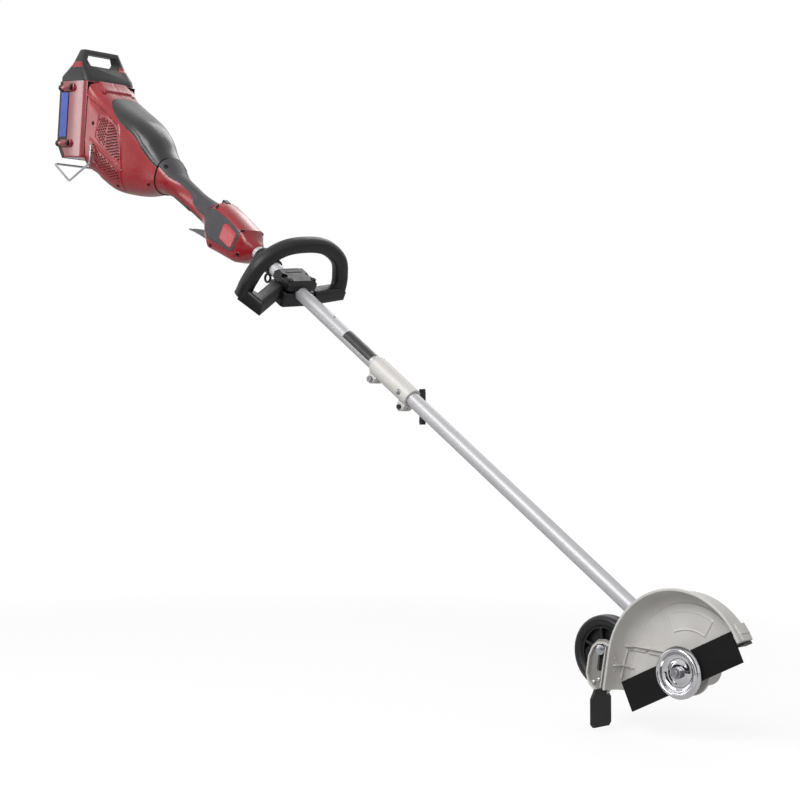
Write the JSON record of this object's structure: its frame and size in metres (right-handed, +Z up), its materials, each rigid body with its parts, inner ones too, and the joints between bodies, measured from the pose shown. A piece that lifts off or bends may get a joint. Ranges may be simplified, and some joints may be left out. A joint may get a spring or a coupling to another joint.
{
  "type": "cordless lawn edger",
  "caption": "Cordless lawn edger: battery power head with rear grip, loop front handle, two-piece shaft with coupler, and a guarded edging blade with guide wheel.",
  "frame": {"origin": "middle of the rear grip, on the shaft's axis", "axes": "+Z up, +Y the operator's left, +X level and forward; the shaft slopes 35 degrees down towards +X, as the tool is held in use"},
  "size_m": [1.554, 0.226, 1.157],
  "materials": {
    "black_plastic": "moulded, black",
    "blade_steel": "black coated steel",
    "blue_panel": "bare blue panel",
    "board_green": "circuit board",
    "bright_steel": "plated",
    "cast_metal": "silver-grey painted casting",
    "copper": null,
    "dark_shell": "moulded, satin charcoal",
    "grey_plastic": "moulded, mid grey",
    "red_shell": "moulded, glossy red",
    "rubber": "black",
    "steel": "turned",
    "tube_metal": "drawn, bright"
  },
  "bodies": {
    "power_head": {"housing_right": "red_shell", "housing_left": "red_shell", "top_cover": "dark_shell", "neck_isolator": "rubber", "grip_pod_right": "red_shell", "grip_pod_left": "red_shell", "grip_overmould": "dark_shell", "badge_plate": "red_shell", "trigger_pin": "steel", "trigger_spring": "steel", "power_switch": "black_plastic", "motor_plate": "cast_metal", "motor_stator": "copper", "controller_board": "board_green", "terminal_block": "black_plastic", "wire_stand": "bright_steel", "upper_tube": "tube_metal", "tube_label": "black_plastic", "tube_collar": "black_plastic", "strap_hanger": "black_plastic", "upper_bush": "black_plastic", "coupler_body": "cast_metal", "coupler_bolt": "steel"},
    "battery": {"battery_case": "red_shell", "battery_cells": "grey_plastic", "battery_cap": "dark_shell", "battery_side_plate": "blue_panel"},
    "latch": {"battery_latch": "black_plastic"},
    "rotor": {"motor_rotor": "steel", "motor_fan": "black_plastic", "upper_drive_shaft": "steel"},
    "trigger_lever": {"trigger": "grey_plastic"},
    "lockout": {"lockout_button": "black_plastic"},
    "handle": {"d_handle": "black_plastic", "handle_clamp_base": "black_plastic", "handle_clamp_cap": "black_plastic", "clamp_bolt_left": "steel", "clamp_bolt_right": "steel"},
    "knob": {"coupler_knob": "black_plastic"},
    "release": {"release_button": "steel"},
    "attachment": {"lower_tube": "tube_metal", "lower_bush": "black_plastic", "gearbox_case": "cast_metal", "gearbox_cover": "cast_metal", "pinion_bearing": "steel", "spindle_bearing": "steel", "blade_guard": "cast_metal", "wheel_bracket": "cast_metal", "debris_flap": "rubber"},
    "lower_shaft": {"lower_drive_shaft": "steel"},
    "spindle": {"bevel_gear": "steel", "output_spindle": "steel", "blade_washer": "steel", "edger_blade": "blade_steel", "blade_cup": "bright_steel", "blade_nut": "steel"},
    "carrier": {"wheel_arm": "cast_metal", "height_bolt": "bright_steel"},
    "wheel": {"wheel_hub": "black_plastic", "wheel_tyre": "rubber"}
  },
  "joints": [
    {"name": "blade_spin", "type": "hinge", "parent": "attachment", "child": "spindle", "pos_m": [1.07882, 0, -0.7554], "axis": [0, 1, 0], "continuous": true},
    {"name": "lower_shaft_spin", "type": "hinge", "parent": "attachment", "child": "lower_shaft", "pos_m": [1.07882, 0, -0.7554], "axis": [0.8192, 0, -0.5736], "continuous": true},
    {"name": "rotor_spin", "type": "hinge", "parent": "power_head", "child": "rotor", "pos_m": [1.07882, 0, -0.7554], "axis": [0.8192, 0, -0.5736], "continuous": true},
    {"name": "battery_slide", "type": "slide", "parent": "power_head", "child": "battery", "axis": [0.1045, 0, 0.9945], "range_m": [0, 0.19]},
    {"name": "latch_press", "type": "slide", "parent": "battery", "child": "latch", "axis": [0.9945, 0, -0.1045], "range_m": [0, 0.003], "stiffness_N_per_m": 400},
    {"name": "trigger_pull", "type": "hinge", "parent": "power_head", "child": "trigger_lever", "pos_m": [0.05529, 0, -0.06923], "axis": [0, 1, 0], "range_deg": [0, 12], "stiffness_Nm_per_rad": 0.8, "springref_deg": -8.59},
    {"name": "lockout_press", "type": "slide", "parent": "power_head", "child": "lockout", "axis": [-0.5736, 0, -0.8192], "range_m": [0, 0.003], "stiffness_N_per_m": 400},
    {"name": "handle_slide", "type": "slide", "parent": "power_head", "child": "handle", "axis": [0.8192, 0, -0.5736], "range_m": [-0.025, 0.07]},
    {"name": "knob_turn", "type": "hinge", "parent": "power_head", "child": "knob", "pos_m": [0.51496, 0, -0.3856], "axis": [0, -1, 0], "range_deg": [0, 360]},
    {"name": "release_press", "type": "slide", "parent": "power_head", "child": "release", "axis": [0, 1, 0], "range_m": [0, 0.0025], "stiffness_N_per_m": 500},
    {"name": "attachment_slide", "type": "slide", "parent": "power_head", "child": "attachment", "axis": [0.8192, 0, -0.5736], "range_m": [0, 0.06]},
    {"name": "wheel_height", "type": "slide", "parent": "attachment", "child": "carrier", "axis": [-0.1736, 0, -0.9848], "range_m": [0, 0.028]},
    {"name": "wheel_spin", "type": "hinge", "parent": "carrier", "child": "wheel", "pos_m": [0.90257, 0, -0.74735], "axis": [0, 1, 0], "continuous": true}
  ],
  "couplings": [
    {"joint": "lower_shaft_spin", "follows": "blade_spin", "ratio": 1.4},
    {"joint": "rotor_spin", "follows": "blade_spin", "ratio": 1.4}
  ]
}
